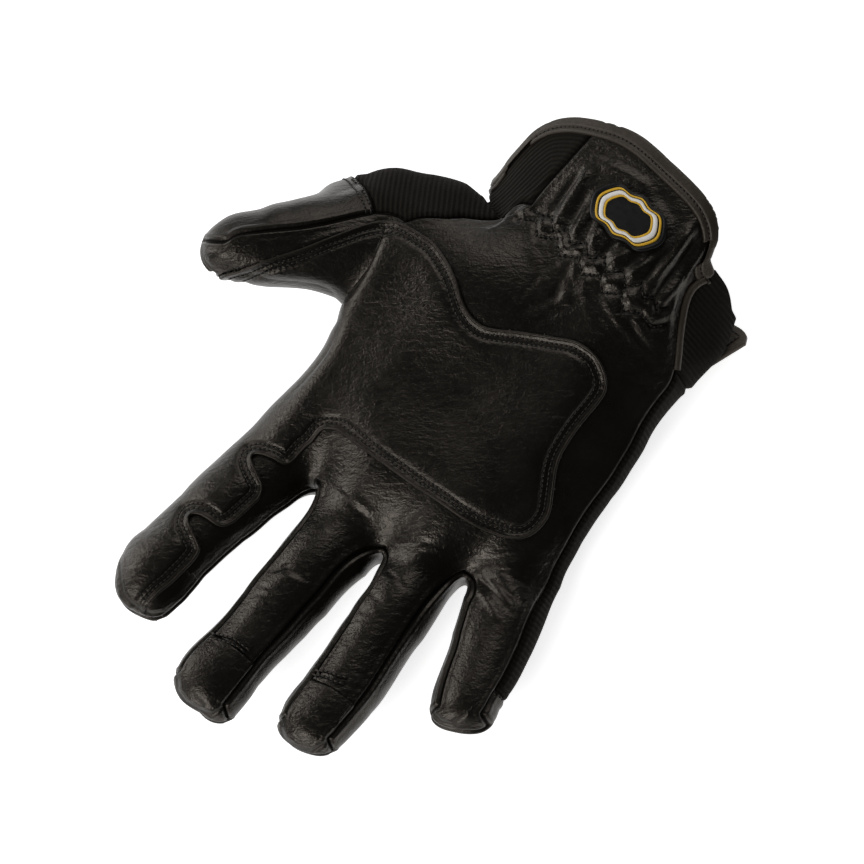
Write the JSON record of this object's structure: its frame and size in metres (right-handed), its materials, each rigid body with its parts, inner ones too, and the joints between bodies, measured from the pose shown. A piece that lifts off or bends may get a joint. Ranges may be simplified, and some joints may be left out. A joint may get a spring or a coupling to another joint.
{
  "type": "work glove",
  "caption": "Right-hand leather work glove with a padded palm patch, ribbed knit back and a gathered cuff, lying palm up.",
  "frame": {"origin": "on the flattened back of the hand, under the middle of the palm, where the glove rests", "axes": "+Y from the wrist toward the fingertips, +X toward the thumb, +Z out of the palm"},
  "size_m": [0.1861, 0.2396, 0.0441],
  "materials": {
    "palm_leather": "smooth black grain leather, soft satin",
    "side_leather": "thin smooth black leather",
    "patch_leather": "padded black leather with double stitching",
    "binding_leather": "folded black leather edge",
    "knit": "black ribbed knit, matte",
    "badge_rubber": "moulded black rubber with a plain gold and white border"
  },
  "bodies": {
    "root": {"palm_leather": "palm_leather", "back_knit": "knit", "fourchette_index_middle": "side_leather", "fourchette_middle_ring": "side_leather", "fourchette_ring_little": "side_leather", "index_back_tip": "side_leather", "middle_back_tip": "side_leather", "ring_back_tip": "side_leather", "little_back_tip": "side_leather", "thumb_palm_leather": "palm_leather", "thumb_back_leather": "side_leather", "thumb_knit": "knit", "cuff_knit_radial": "knit", "cuff_knit_back": "knit", "cuff_binding": "binding_leather", "middle_tip_patch": "patch_leather", "ring_tip_patch": "patch_leather", "palm_patch": "patch_leather", "vent_piping": "binding_leather", "badge": "badge_rubber", "closure_strap": "binding_leather"}
  },
  "joints": []
}
